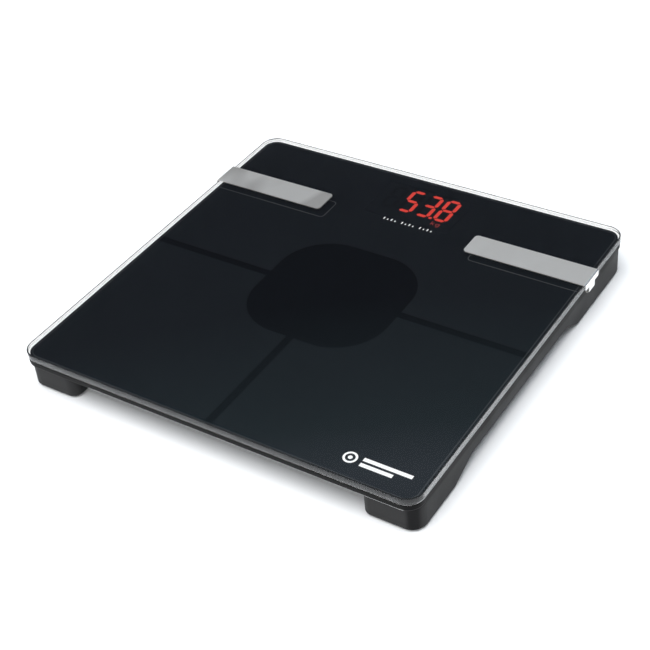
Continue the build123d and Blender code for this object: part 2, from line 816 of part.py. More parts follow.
# The four weighing feet, each with its load cell and holder
for name, (x, y) in feet.items():
    with BuildPart() as foot_pad:
        with BuildSketch():
            with Locations((x, y)):
                Circle(foot_pad_radius)
        extrude(amount=foot_pad_thickness)
        fillet(foot_pad.faces().sort_by(Axis.Z)[0].edges(), foot_pad_edge)
    save(foot_pad.part, f"foot_pad_{name}")

    with BuildPart() as foot_cap:
        with BuildSketch(Plane.XY.offset(foot_cap_bottom)):
            with Locations((x, y)):
                Circle(foot_cap_radius)
        extrude(amount=foot_flange_bottom - foot_cap_bottom)
        chamfer(foot_cap.faces().sort_by(Axis.Z)[0].edges(), foot_cap_edge)
        with BuildSketch(Plane.XY.offset(foot_flange_bottom)):
            with Locations((x, y)):
                Circle(foot_flange_radius)
        extrude(amount=foot_flange_thickness)
        with BuildSketch(Plane.XY.offset(foot_flange_top)):
            with Locations((x, y)):
                Circle(foot_stem_radius)
        extrude(amount=cell_bottom - foot_flange_top)
        with BuildSketch(Plane.XY.offset(foot_cap_bottom)):
            with Locations((x, y)):
                Circle(foot_pad_radius + foot_pad_gap)
        extrude(amount=foot_pad_thickness - foot_cap_bottom, mode=Mode.SUBTRACT)
    save(foot_cap.part, f"foot_cap_{name}")

    with BuildPart() as cell_tongue:
        with BuildSketch(Plane.XY.offset(cell_bottom)):
            with Locations((x, y)):
                RectangleRounded(tongue_width, tongue_length, tongue_corner)
        extrude(amount=cell_thickness)
        with BuildSketch(Plane.XY.offset(cell_top)):
            with Locations((x, y)):
                Rectangle(gauge_width, gauge_length)
        extrude(amount=gauge_thickness)
    save(cell_tongue.part, f"load_cell_tongue_{name}")

    with BuildPart() as cell_frame:
        with BuildSketch(Plane.XY.offset(cell_bottom)):
            with Locations((x, y)):
                RectangleRounded(cell_side, cell_side, cell_corner)
                RectangleRounded(cell_opening, cell_opening, cell_opening_corner, mode=Mode.SUBTRACT)
                with Locations(screw_corners):
                    Circle(screw_hole_radius, mode=Mode.SUBTRACT)
        extrude(amount=cell_thickness)
    save(cell_frame.part, f"load_cell_frame_{name}")

    with BuildPart() as cell_holder:
        with BuildSketch(Plane.XY.offset(cell_top)):
            with Locations((x, y)):
                RectangleRounded(cell_side, cell_side, cell_corner)
                RectangleRounded(cell_opening, cell_opening, cell_opening_corner, mode=Mode.SUBTRACT)
                with Locations(screw_corners):
                    Circle(screw_hole_radius, mode=Mode.SUBTRACT)
        extrude(amount=holder_thickness)
    save(cell_holder.part, f"load_cell_holder_{name}")

# Screws of the load cells: a pan head over a shank that sits in its pilot hole
cell_shank_bottom = post_pilot_bottom + screw_end_gap
with BuildPart() as load_cell_screws:
    with BuildSketch(Plane.XY.offset(holder_top)):
        with Locations(cell_screws):
            Circle(screw_head_radius)
    extrude(amount=screw_head_height)
    with BuildSketch(Plane.XY.offset(cell_shank_bottom)):
        with Locations(cell_screws):
            Circle(screw_shank_radius)
    extrude(amount=holder_top - cell_shank_bottom)
save(load_cell_screws.part, "load_cell_screws")

# Screws of the main board
board_shank_bottom = boss_pilot_bottom + screw_end_gap
with BuildPart() as board_screw_set:
    with BuildSketch(Plane.XY.offset(board_top)):
        with Locations(board_screws):
            Circle(screw_head_radius)
    extrude(amount=screw_head_height)
    with BuildSketch(Plane.XY.offset(board_shank_bottom)):
        with Locations(board_screws):
            Circle(screw_shank_radius)
    extrude(amount=board_top - board_shank_bottom)
save(board_screw_set.part, "board_screws")


def routed_wire(points, bend):
    """Sweeps a round lead along straight runs joined by arcs."""
    with BuildPart() as wire:
        with BuildLine() as route:
            FilletPolyline(*points, radius=bend)
        with BuildSketch(Plane(origin=route.line @ 0, z_dir=route.line % 0)):
            Circle(wire_radius)
        sweep(path=route.line)
    return wire.part


# Leads from the load cells and electrode tabs to the board, clipped inside the casing
for name, side in (("left", -1), ("right", 1)):
    front_route = [
        (side * foot_x, -foot_y + 16.3, wire_cell_z),
        (side * foot_x, -92, wire_rail_z),
        (side * foot_x, 66, wire_rail_z),
        (side * 122, 76, wire_level),
        (side * 104, 92, wire_level),
        (side * 46, 98.6, wire_level),
        (side * wire_end_x, 98.6, wire_end_z),
    ]
    save(routed_wire(front_route, front_wire_bend), f"load_cell_lead_front_{name}")
    electrode_route = [
        (side * (tab_inner_x - 1), strip_centre_y, tab_bottom + strip_thickness + wire_radius),
        (side * 132, 92, wire_level),
        (side * 108, 103, wire_level),
        (side * 46, 105, wire_level),
        (side * wire_end_x, 105, wire_end_z),
    ]
    save(routed_wire(electrode_route, electrode_wire_bend), f"electrode_lead_{name}")
    back_route = [
        (side * (foot_x - 16.2), foot_y, wire_cell_z),
        (side * (foot_x - 16.2), foot_y - 3, wire_level),
        (side * 104, foot_y - 7, wire_level),
        (side * 46, 112, wire_level),
        (side * wire_end_x, 112, wire_end_z),
    ]
    save(routed_wire(back_route, back_wire_bend), f"load_cell_lead_back_{name}")

print("pieces", len(os.listdir("parts")))
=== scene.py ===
"""Looks of the digital bathroom scale: glass, print, display, strips and casing."""

import json
import math

import bmesh
import bpy
from mathutils import Matrix, Vector


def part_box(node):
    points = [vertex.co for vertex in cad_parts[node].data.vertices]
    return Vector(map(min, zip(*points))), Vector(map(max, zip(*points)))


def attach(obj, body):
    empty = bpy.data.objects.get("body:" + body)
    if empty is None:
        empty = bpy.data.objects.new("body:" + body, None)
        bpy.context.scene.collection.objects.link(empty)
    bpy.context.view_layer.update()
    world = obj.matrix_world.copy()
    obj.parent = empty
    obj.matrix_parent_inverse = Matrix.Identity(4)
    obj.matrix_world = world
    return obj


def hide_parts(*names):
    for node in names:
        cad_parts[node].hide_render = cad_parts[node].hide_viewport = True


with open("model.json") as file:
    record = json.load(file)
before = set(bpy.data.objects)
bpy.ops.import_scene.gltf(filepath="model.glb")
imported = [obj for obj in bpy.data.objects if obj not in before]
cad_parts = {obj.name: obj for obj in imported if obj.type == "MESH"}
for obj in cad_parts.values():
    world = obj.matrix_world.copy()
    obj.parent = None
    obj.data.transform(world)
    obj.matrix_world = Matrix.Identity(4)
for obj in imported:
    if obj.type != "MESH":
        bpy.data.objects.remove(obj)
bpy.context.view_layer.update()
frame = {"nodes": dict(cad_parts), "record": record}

MM = 0.001
PLATE_LOW, PLATE_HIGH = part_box("glass_platform")
PRINT_LOW, PRINT_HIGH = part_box("glass_print")
CASING_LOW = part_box("base_casing")[0]
STRIP_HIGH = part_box("electrode_strip_right")[1]
CELL_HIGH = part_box("battery_1")[1]

# Glass plate
PLATE_CORNER = 11.5 * MM
EDGE_RADIUS = 0.3 * MM
BEVEL_WIDTH = 0.95 * MM
ARRIS_DEPTH = 0.6 * MM
ARRIS_HEIGHT = 1.3 * MM
PRINT_OVERLAP = 0.03 * MM
MARK_THICKNESS = 0.03 * MM

# Casing: heights over which the rim turns dark, the painted highlight (a pale line) under it, and
# the painted shade on the corners
RIM_HEIGHTS = (18.5 * MM, 20.5 * MM)
RIM_GLINT_Z = 20.2 * MM
RIM_GLINT_HALF = (0.3 * MM, 0.45 * MM)
RIM_GLINT_DEPTH = (0.7 * MM, 0.9 * MM)
RIM_GLINT_CENTRE = 24 * MM
RIM_GLINT_REACH = (117 * MM, 118 * MM)
CORNER_SHADE_REACH = (140.5 * MM, 143 * MM)

# Steel strips and cells: where the strips bend, the span over which the left strip's painted shade
# gives way, bands on the cells
STRIP_BEND = (1.6 * MM, 0.8 * MM)
STRIP_SHADE_SPAN = 50 * MM
CELL_BAND = (9.9 * MM, 10.1 * MM)
CELL_END = (1.9 * MM, 1.7 * MM)

# Depths of surface bumps
MOULDED_GRAIN = 0.04 * MM
FINE_GRAIN = 0.01 * MM
RUBBER_GRAIN = 0.1 * MM

# Print under the glass, in mm, with the painted shadows of the strips
PATTERN_CENTRE = (1.2, -0.6)
SQUARE_HALF = (52.4, 52.7)
SQUARE_RADIUS = 37.0
GAP_HALF = 2.85
# Painted shadow of each strip on the print: a darker area with a pale outline, shifted to one side
STRIP_SHADOW_CENTRE = (119.4, 84.2)
STRIP_SHADOW_SHIFT = 5.4
STRIP_SHADOW_HALF = (60.0, 10.5)
STRIP_SHADOW_RADIUS = 3.0
MARGIN_LINE = 1.7
MARGIN_CORNER = 7.8
ZONE_COLOUR = (0.0098, 0.0112, 0.0135)
GAP_COLOUR = (0.0015, 0.0015, 0.0025)
LINE_COLOUR = (0.115, 0.115, 0.118)


# ---------------------------------------------------------------- node helpers


class Nodes:
    """A material's node tree, with one short call for each kind of node."""

    def __init__(self, name):
        self.material = bpy.data.materials.new(name)
        self.material.use_nodes = True
        self.tree = self.material.node_tree
        self.shader = self.tree.nodes["Principled BSDF"]

    def add(self, kind, **settings):
        node = self.tree.nodes.new(kind)
        for key, value in settings.items():
            setattr(node, key, value)
        return node

    def link(self, source, target):
        self.tree.links.new(source, target)

    def set(self, **values):
        for key, value in values.items():
            self.shader.inputs[key.replace("_", " ")].default_value = value

    def place(self, scale=(1, 1, 1)):
        """Object coordinates, stretched by scale."""
        coordinates = self.add("ShaderNodeTexCoord")
        mapping = self.add("ShaderNodeMapping")
        mapping.inputs["Scale"].default_value = scale
        self.link(coordinates.outputs["Object"], mapping.inputs["Vector"])
        return mapping.outputs["Vector"]

    def axes(self, scale=1.0):
        """The X, Y and Z of the object coordinates, each times scale."""
        split = self.add("ShaderNodeSeparateXYZ")
        self.link(self.place((scale, scale, scale)), split.inputs["Vector"])
        return split.outputs["X"], split.outputs["Y"], split.outputs["Z"]

    def noise(self, vector, scale, detail=3.0, roughness=0.5):
        node = self.add("ShaderNodeTexNoise")
        node.inputs["Scale"].default_value = scale
        node.inputs["Detail"].default_value = detail
        node.inputs["Roughness"].default_value = roughness
        self.link(vector, node.inputs["Vector"])
        return node.outputs["Fac"]

    def ramp(self, value, low, high):
        """Maps value from (low[0], high[0]) to (low[1], high[1])."""
        node = self.add("ShaderNodeMapRange")
        node.inputs["From Min"].default_value = low[0]
        node.inputs["From Max"].default_value = high[0]
        node.inputs["To Min"].default_value = low[1]
        node.inputs["To Max"].default_value = high[1]
        self.link(value, node.inputs["Value"])
        return node.outputs["Result"]

    def math(self, operation, first, second=None):
        node = self.add("ShaderNodeMath", operation=operation)
        for socket, value in zip(node.inputs, (first, second)):
            if value is None:
                continue
            if isinstance(value, (int, float)):
                socket.default_value = value
            else:
                self.link(value, socket)
        return node.outputs["Value"]

    def size(self, value):
        """The value without its sign."""
        return self.math("ABSOLUTE", value)

    def product(self, first, *others):
        for other in others:
            first = self.math("MULTIPLY", first, other)
        return first

    def mix(self, factor, first, second):
        """Mixes two colours, each an RGB triple or a socket."""
        node = self.add("ShaderNodeMix", data_type="RGBA")
        self.link(factor, node.inputs["Factor"])
        for socket, value in ((node.inputs[6], first), (node.inputs[7], second)):
            if isinstance(value, (tuple, list)):
                socket.default_value = (*value, 1)
            else:
                self.link(value, socket)
        return node.outputs[2]

    def bump(self, height, distance):
        node = self.add("ShaderNodeBump")
        node.inputs["Distance"].default_value = distance
        self.link(height, node.inputs["Height"])
        self.link(node.outputs["Normal"], self.shader.inputs["Normal"])

    def colour(self, socket):
        self.link(socket, self.shader.inputs["Base Color"])

    def glow(self, socket):
        self.link(socket, self.shader.inputs["Emission Color"])

    def roughness(self, socket):
        self.link(socket, self.shader.inputs["Roughness"])


# ---------------------------------------------------------------- materials


def moulded_plastic(name, colour, roughness=0.42, grain=MOULDED_GRAIN, shine=0.5):
    """Fine spark-eroded plastic, with a faint cloudiness in colour and gloss."""
    m = Nodes(name)
    vector = m.place()
    cloud = m.noise(vector, 40, 4)
    m.colour(m.mix(cloud, [c * 0.86 for c in colour], [c * 1.16 for c in colour]))
    m.roughness(m.ramp(cloud, (0.3, roughness - 0.05), (0.7, roughness + 0.07)))
    m.bump(m.noise(vector, 1900, 2), grain)
    m.set(IOR=1.5, Specular_IOR_Level=shine)
    return m.material


def casing_plastic():
    """Dark grey textured plastic: darker rim, a painted highlight (a pale line) under it at the
    front, painted shade on the corners.
    """
    m = Nodes("casing_abs")
    vector = m.place()
    x, y, z = m.axes()
    cloud = m.noise(vector, 40, 4)
    block = m.mix(cloud, (0.021, 0.021, 0.0213), (0.027, 0.027, 0.0274))
    rim = m.mix(cloud, (0.004, 0.004, 0.004), (0.006, 0.006, 0.006))
    height = m.ramp(z, (RIM_HEIGHTS[0], 0), (RIM_HEIGHTS[1], 1))
    plain = m.mix(height, block, rim)

    # Painted shade: darker where the walls turn the corner
    both = m.math("MINIMUM", m.size(x), m.size(y))
    turn = m.ramp(both, (CORNER_SHADE_REACH[0], 0), (CORNER_SHADE_REACH[1], 0.8))
    plain = m.mix(turn, plain, (0.0015, 0.0015, 0.002))

    # Painted highlight: a pale line along the rim's lower edge, at the front, standing for the
    # glint on its rounded edge
    off_glint = m.size(m.math("SUBTRACT", z, RIM_GLINT_Z))
    line = m.ramp(off_glint, (RIM_GLINT_HALF[0], 1), (RIM_GLINT_HALF[1], 0))
    depths = [CASING_LOW.y + depth for depth in RIM_GLINT_DEPTH]
    front = m.ramp(y, (depths[0], 1), (depths[1], 0))
    off_middle = m.size(m.math("SUBTRACT", x, RIM_GLINT_CENTRE))
    along = m.ramp(off_middle, (RIM_GLINT_REACH[0], 1), (RIM_GLINT_REACH[1], 0))
    # The pale grey mixed in last is the painted highlight
    m.colour(m.mix(m.product(line, front, along), plain, (0.72, 0.72, 0.72)))

    m.roughness(m.ramp(cloud, (0.3, 0.38), (0.7, 0.5)))
    m.bump(m.noise(vector, 1900, 2), MOULDED_GRAIN)
    m.set(IOR=1.5, Specular_IOR_Level=0.08)
    return m.material


def clear_glass():
    """Polished float glass with a faint green tint."""
    m = Nodes("float_glass")
    m.set(Base_Color=(0.97, 0.99, 0.985, 1), Roughness=0.0, IOR=1.5, Transmission_Weight=1.0)
    return m.material


def polished_edge():
    """The plate's polished edge: clear, hazy with painted light on the right side towards the
    front, and painted shade on the corners.
    """
    m = Nodes("polished_edge")
    x, y, _ = m.axes()
    off_y = m.size(y)
    # Painted light: the edge turns hazier only on the right side and most at the front, so that
    # side looks lit from the right front
    side = m.ramp(x, (PLATE_HIGH.x - 3 * MM, 0), (PLATE_HIGH.x - 1 * MM, 1))
    straight = m.ramp(off_y, (PLATE_HIGH.y - 12 * MM, 1), (PLATE_HIGH.y - 8 * MM, 0))
    painted_light_falloff = m.ramp(y, (-120 * MM, 0.24), (120 * MM, 0.03))
    haze_painted_light = m.product(side, straight, painted_light_falloff)
    m.link(m.math("SUBTRACT", 1.0, haze_painted_light), m.shader.inputs["Transmission Weight"])
    marks = m.noise(m.place((25, 25, 1200)), 6, 4)
    wall = m.mix(marks, (0.97, 0.975, 0.975), (1.0, 1.0, 1.0))
    # Painted shade: the edge turns dark round the corners
    both = m.math("MINIMUM", m.size(x), off_y)
    bend = m.ramp(both, (PLATE_HIGH.x - 12 * MM, 0), (PLATE_HIGH.x - 9 * MM, 1))
    m.colour(m.mix(bend, wall, (0.06, 0.065, 0.07)))
    m.set(IOR=1.5, Roughness=0.0)
    return m.material


def bevel_painted_shade():
    """Dark line round the top bevel of the plate's edge: painted shade, opaque in place of the
    glass.
    """
    m = Nodes("bevel_painted_shade")
    marks = m.noise(m.place((30, 30, 30)), 40, 3)
    m.colour(m.mix(marks, (0.012, 0.013, 0.014), (0.02, 0.021, 0.022)))
    m.set(Roughness=0.3, IOR=1.5, Specular_IOR_Level=0.1)
    return m.material


def electrode_steel():
    """Satin stainless steel brushed along X: painted shade on the left strip, painted sheen in
    soft areas, polished where it bends down with a painted highlight there.
    """
    m = Nodes("electrode_steel")
    grain = m.noise(m.place((18, 1400, 1400)), 6, 5, 0.6)
    cloud = m.noise(m.place((1, 0.5, 0.5)), 34, 1)
    x, _, _ = m.axes()
    bend_x = [STRIP_HIGH.x - short for short in STRIP_BEND]
    bend = m.ramp(m.size(x), (bend_x[0], 0), (bend_x[1], 1))
    left = m.mix(grain, (0.60, 0.56, 0.52), (0.76, 0.71, 0.66))
    right = m.mix(grain, (0.88, 0.83, 0.77), (1.0, 0.94, 0.875))
    # Painted shade: the left strip darker than the right, blended across the middle
    satin_and_painted_light = m.mix(m.ramp(x, (-STRIP_SHADE_SPAN, 0), (STRIP_SHADE_SPAN, 1)), left, right)
    # Painted sheen: soft brighter areas
    satin_and_painted_light = m.mix(m.ramp(cloud, (0.42, 0), (0.58, 0.7)), satin_and_painted_light, (1.0, 0.95, 0.89))
    # Painted highlight at the bend, which the roughness below also makes polished
    m.colour(m.mix(bend, satin_and_painted_light, (0.96, 0.96, 0.955)))
    brushed = m.ramp(grain, (0.3, 0.34), (0.7, 0.50))
    m.roughness(m.math("SUBTRACT", brushed, m.product(bend, 0.3)))
    m.bump(grain, FINE_GRAIN)
    m.set(Metallic=0.83)
    return m.material


def steel(name, colour, roughness=0.34):
    """Steel brushed along X."""
    m = Nodes(name)
    grain = m.noise(m.place((18, 1400, 1400)), 6, 5, 0.6)
    m.colour(m.mix(grain, [c * 0.88 for c in colour], [min(1, c * 1.08) for c in colour]))
    m.roughness(m.ramp(grain, (0.3, roughness - 0.06), (0.7, roughness + 0.1)))
    m.bump(grain, FINE_GRAIN)
    m.set(Metallic=1.0)
    return m.material


def battery_jacket(name, turn):
    """Dark jacket, copper band at the positive end (turn is its side in X), bare steel ends."""
    m = Nodes(name)
    x, _, _ = m.axes()
    scuffs = m.noise(m.place((200, 200, 200)), 3, 4)
    jacket = m.mix(scuffs, (0.012, 0.014, 0.02), (0.02, 0.023, 0.03))
    band = m.ramp(m.product(x, turn), (CELL_BAND[0], 0), (CELL_BAND[1], 1))
    printed = m.mix(band, jacket, (0.42, 0.17, 0.06))
    end_x = [CELL_HIGH.x - short for short in CELL_END]
    end = m.ramp(m.size(x), (end_x[0], 0), (end_x[1], 1))
    m.colour(m.mix(end, printed, (0.72, 0.71, 0.69)))
    m.link(end, m.shader.inputs["Metallic"])
    m.roughness(m.ramp(scuffs, (0.3, 0.22), (0.7, 0.34)))
    return m.material


def lit_guide():
    """Red light guide, slightly uneven in its glow."""
    m = Nodes("lit_guide")
    glow = m.noise(m.place(), 260, 2)
    m.glow(m.mix(glow, (0.80, 0.035, 0.018), (0.95, 0.075, 0.038)))
    m.set(Base_Color=(0.2, 0.01, 0.01, 1), Emission_Strength=0.62, Roughness=0.4)
    return m.material


def white_enamel():
    """Bright white fired enamel, its brightness a glow: painted light standing for how it looks
    lit through the glass.
    """
    m = Nodes("white_enamel")
    cloud = m.noise(m.place(), 120, 3)
    m.colour(m.mix(cloud, (0.13, 0.13, 0.13), (0.16, 0.16, 0.16)))
    m.set(Roughness=0.4, Emission_Color=(1, 1, 1, 1), Emission_Strength=0.92)
    return m.material


def unit_glow():
    """Dim red of the unit mark."""
    m = Nodes("unit_glow")
    glow = m.noise(m.place(), 400, 2)
    m.glow(m.mix(glow, (0.20, 0.012, 0.012), (0.30, 0.022, 0.02)))
    m.set(Base_Color=(0.08, 0.01, 0.01, 1), Emission_Strength=0.75, Roughness=0.5)
    return m.material


def enamel_print():
    """Black enamel: paler conductive zones round a dark rounded square, dark gaps between them,
    and a painted shadow of each strip with a pale outline.
    """
    m = Nodes("black_enamel")
    x, y, _ = m.axes(1 / MM)

    def off(value, place):
        """Distance in mm from a place along one axis."""
        return m.size(m.math("SUBTRACT", value, place))

    def inside(distance, blur=0.25):
        """1 where a distance in mm is below zero, with a soft edge."""
        return m.ramp(distance, (-blur, 1.0), (blur, 0.0))

    def outline(distance, half_width, blur):
        """A line along the place where a distance in mm is zero."""
        return inside(m.math("SUBTRACT", m.size(distance), half_width), blur)

    def box_distance(centre, half, radius):
        """Signed distance in mm to a rounded rectangle."""
        over = []
        for value, c, h in zip((x, y), centre, half):
            gap = m.math("SUBTRACT", off(value, c), h - radius)
            over.append(m.math("MAXIMUM", gap, 0.0))
        squares = [m.product(v, v) for v in over]
        return m.math("SUBTRACT", m.math("SQRT", m.math("ADD", *squares)), radius)

    centre_x, centre_y = PATTERN_CENTRE
    square = inside(box_distance(PATTERN_CENTRE, SQUARE_HALF, SQUARE_RADIUS))
    across = inside(m.math("SUBTRACT", off(y, centre_y), GAP_HALF))
    along = inside(m.math("SUBTRACT", off(x, centre_x), GAP_HALF))
    along = m.product(along, inside(m.math("SUBTRACT", y, centre_y)))
    gap = m.math("MAXIMUM", m.math("MAXIMUM", square, across), along)

    # Painted shadow: a darker area beside each strip, outlined by a pale line
    strip_shadows = []
    for side in (-1, 1):
        centre = (side * STRIP_SHADOW_CENTRE[0] + STRIP_SHADOW_SHIFT, STRIP_SHADOW_CENTRE[1])
        strip_shadows.append(box_distance(centre, STRIP_SHADOW_HALF, STRIP_SHADOW_RADIUS))
    strip_shadow = m.math("MINIMUM", *strip_shadows)
    # Darkens the gaps, which are print, and less so the painted strip shadows
    dim = m.math("MAXIMUM", gap, m.product(inside(strip_shadow), 0.15))

    middle = [v / 2 / MM for v in PRINT_LOW + PRINT_HIGH]
    reach = [v / 2 / MM - MARGIN_LINE for v in PRINT_HIGH - PRINT_LOW]
    margin = box_distance(middle[:2], reach[:2], MARGIN_CORNER)
    margin_line = m.product(outline(margin, 0.35, 0.3), 0.45)
    # Pale outline of the painted strip shadows, and the margin line
    lines = m.math("MAXIMUM", outline(strip_shadow, 0.25, 0.2), margin_line)

    fleck = m.noise(m.place(), 900, 2)
    pale = m.mix(fleck, [c * 0.96 for c in ZONE_COLOUR], [c * 1.04 for c in ZONE_COLOUR])
    m.colour(m.mix(lines, m.mix(dim, pale, GAP_COLOUR), LINE_COLOUR))
    m.set(Roughness=0.35, IOR=1.5, Specular_IOR_Level=0.0)
    return m.material


# ---------------------------------------------------------------- meshes


def to_mesh(name, bm):
    """Turns a bmesh into a mesh of that name and frees it."""
    mesh = bpy.data.meshes.new(name)
    bm.to_mesh(mesh)
    bm.free()
    return mesh


def new_piece(mesh, materials, replaces=()):
    """Links a mesh as a piece of the root body, with its finish and the CAD nodes it replaces."""
    obj = bpy.data.objects.new(mesh.name, mesh)
    bpy.context.scene.collection.objects.link(obj)
    for material in materials:
        mesh.materials.append(material)
    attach(obj, "root")
    if replaces:
        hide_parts(*replaces)
    return obj


def rounded_loop(half_x, half_y, radius, steps=16):
    """Corner points of a rounded rectangle about the origin, counter-clockwise."""
    points = []
    for turn in range(4):
        sx = 1 if turn in (0, 3) else -1
        sy = 1 if turn in (0, 1) else -1
        for i in range(steps + 1):
            angle = math.radians(90 * (turn + i / steps))
            x = sx * (half_x - radius) + radius * math.cos(angle)
            y = sy * (half_y - radius) + radius * math.sin(angle)
            points.append((x, y))
    return points


def plate_loop(bm, inset, front_inset, z):
    """Vertices of the plate's outline at height z, inset all round and further at the front."""
    half = (PLATE_HIGH - PLATE_LOW) / 2
    ring = rounded_loop(half.x - inset, half.y - inset, PLATE_CORNER - inset)
    return [bm.verts.new((x, y + (front_inset if y < 0 else 0), z)) for x, y in ring]


def skin(bm, low, high):
    """Faces between two closed loops of the same length."""
    faces = []
    for i in range(len(low)):
        j = (i + 1) % len(low)
        faces.append(bm.faces.new((low[i], low[j], high[j], high[i])))
    return faces


def glass_plate():
    """The plate: fine rounded edges, a bevel line round the top in painted shade, and a ground
    lower arris in painted shade at the front and painted light on the right side.

    Its underside is sunk slightly into the print, so that no two faces lie in one plane.
    """
    half = (PLATE_HIGH - PLATE_LOW) / 2
    bottom = PLATE_LOW.z - PRINT_OVERLAP
    turns = [math.radians(90 * i / 5) for i in range(6)]
    profile = [(EDGE_RADIUS * (1 - math.cos(a)), EDGE_RADIUS * (1 - math.sin(a))) for a in turns]
    rings = [(inset, ARRIS_DEPTH, bottom + lift) for lift, inset in profile]
    arris_bands = range(len(rings))
    rings += [(0, 0, bottom + ARRIS_HEIGHT)]
    bevel_bands = range(len(rings), len(rings) + len(profile))
    rings += [(inset, 0, PLATE_HIGH.z - lift) for lift, inset in profile[::-1]]
    rings += [(BEVEL_WIDTH, 0, PLATE_HIGH.z)]

    finishes = {
        "flat": clear_glass(),
        "edge": polished_edge(),
        "bevel": bevel_painted_shade(),
        # Painted shade and light: the lower arris is opaque, dark at the front and pale grey on
        # the right side
        "front_arris_painted_shade": moulded_plastic("front_arris_painted_shade", (0.035, 0.037, 0.038), 0.5, FINE_GRAIN, 0.1),
        "side_arris_painted_light": moulded_plastic("side_arris_painted_light", (0.26, 0.265, 0.27), 0.5, FINE_GRAIN, 0.1),
    }
    order = list(finishes)

    bm = bmesh.new()
    loops = [plate_loop(bm, *ring) for ring in rings]
    for flat in (loops[0][::-1], loops[-1]):
        bm.faces.new(flat).material_index = order.index("flat")
    for band, (low, high) in enumerate(zip(loops, loops[1:])):
        for face in skin(bm, low, high):
            middle = face.calc_center_median()
            kind = "edge"
            if band in bevel_bands:
                kind = "bevel"
            elif band in arris_bands and middle.y < PLATE_CORNER / 2 - half.y:
                kind = "front_arris_painted_shade"
            elif band in arris_bands and middle.x > half.x - PLATE_CORNER / 2:
                kind = "side_arris_painted_light"
            face.smooth = True
            face.material_index = order.index(kind)
    bm.normal_update()
    mesh = to_mesh("glass_plate", bm)
    new_piece(mesh, finishes.values(), replaces=["glass_platform"])


def white_border(material):
    """Ring of white enamel under the edge of the glass, outside the black print."""
    outer = 0.35 * MM
    inner = PRINT_LOW.x - PLATE_LOW.x - 0.02 * MM
    front_step = 0.5 * MM
    section = (
        (outer, front_step, PRINT_LOW.z),
        (outer, front_step, PRINT_HIGH.z),
        (inner, 0, PRINT_HIGH.z),
        (inner, 0, PRINT_LOW.z),
    )
    bm = bmesh.new()
    loops = [plate_loop(bm, *ring) for ring in section]
    for low, high in zip(loops, loops[1:] + loops[:1]):
        skin(bm, low, high)
    bm.normal_update()
    new_piece(to_mesh("white_border", bm), [material], replaces=["border_print"])


def ribbon(bm, points, width, low, high):
    """Adds a flat stroke along points in mm, with mitred joints, from height low to high."""
    path = [Vector(p) for p in points]
    closed = (path[0] - path[-1]).length < 0.001
    if closed:
        path.pop()
    sections = []
    for i, point in enumerate(path):
        before = path[i - 1] if closed or i > 0 else None
        after = path[(i + 1) % len(path)] if closed or i < len(path) - 1 else None
        runs = [(b - a).normalized() for a, b in ((before, point), (point, after)) if a and b]
        normals = [Vector((-run.y, run.x)) for run in runs]
        mitre = sum(normals, Vector((0, 0))).normalized()
        mitre *= width / 2 / mitre.dot(normals[0])
        left, right = point + mitre, point - mitre
        corners = ((left, low), (right, low), (right, high), (left, high))
        sections.append([bm.verts.new((p.x * MM, p.y * MM, z)) for p, z in corners])
    if closed:
        sections.append(sections[0])
    else:
        bm.faces.new(sections[0])
        bm.faces.new(sections[-1][::-1])
    for first, second in zip(sections, sections[1:]):
        skin(bm, second, first)


def arc(centre, radius, start, end, steps=20):
    """Points along an arc in mm, from one angle in degrees to another."""
    angles = [math.radians(start + (end - start) * i / steps) for i in range(steps + 1)]
    return [(centre[0] + radius * math.cos(a), centre[1] + radius * math.sin(a)) for a in angles]


def mark(name, strokes, material):
    """A printed mark on the underside of the glass, from strokes of (points, width) in mm."""
    bm = bmesh.new()
    for points, width in strokes:
        ribbon(bm, points, width, PLATE_LOW.z, PLATE_LOW.z + MARK_THICKNESS)
    bmesh.ops.recalc_face_normals(bm, faces=bm.faces)
    new_piece(to_mesh(name, bm), [material])


def unit_mark():
    """Dim red kilogram mark below the last digit."""
    x, y = 21.5, 99.9
    stroke_width = 0.62
    k_stem = [(x, y), (x, y + 4.2)]
    k_arm = [(x + 0.3, y + 1.3), (x + 2.1, y + 2.9)]
    k_leg = [(x + 0.9, y + 1.7), (x + 2.2, y)]
    g_bowl = arc((x + 5.1, y + 1.35), 1.25, 0, 360)
    g_stem = [(x + 6.5, y + 2.8)] + arc((x + 5.3, y), 1.2, 0, -135, 8)
    strokes = [(points, stroke_width) for points in (k_stem, k_arm, k_leg, g_bowl, g_stem)]
    mark("unit_mark", strokes, unit_glow())


def tick_row(material):
    """Row of white ticks in front of the display, in three equal groups."""
    left, front = -12.4, 91.5
    groups, ticks = 3, 4
    pitch, group_gap = 3.05, 2.6
    tall, short, width = 2.5, 1.5, 0.8
    strokes = []
    for group in range(groups):
        for i in range(ticks):
            x = left + group * (ticks * pitch + group_gap) + i * pitch
            height = tall if i % 2 == 0 else short
            strokes.append(([(x, front), (x, front + height)], width))
    mark("tick_row", strokes, material)


def maker_mark(material):
    """Plain white mark near the front right corner: a ring round a dot, and two bars."""
    centre = (95.6, -131.4)
    bar_start, long_end, short_end = 103.6, 137.0, 126.0
    back_y, front_y = -129.2, -133.9
    bar_width = 2.9
    strokes = [
        (arc(centre, 4.0, 0, 360, 40), 1.5),
        (arc(centre, 0.75, 0, 360, 16), 1.48),
        ([(bar_start, back_y), (long_end, back_y)], bar_width),
        ([(bar_start, front_y), (short_end, front_y)], bar_width),
    ]
    mark("maker_mark", strokes, material)


# ---------------------------------------------------------------- assignment


def paint(node, material):
    """Gives a CAD node its material."""
    obj = frame["nodes"][node]
    obj.data.materials.clear()
    obj.data.materials.append(material)


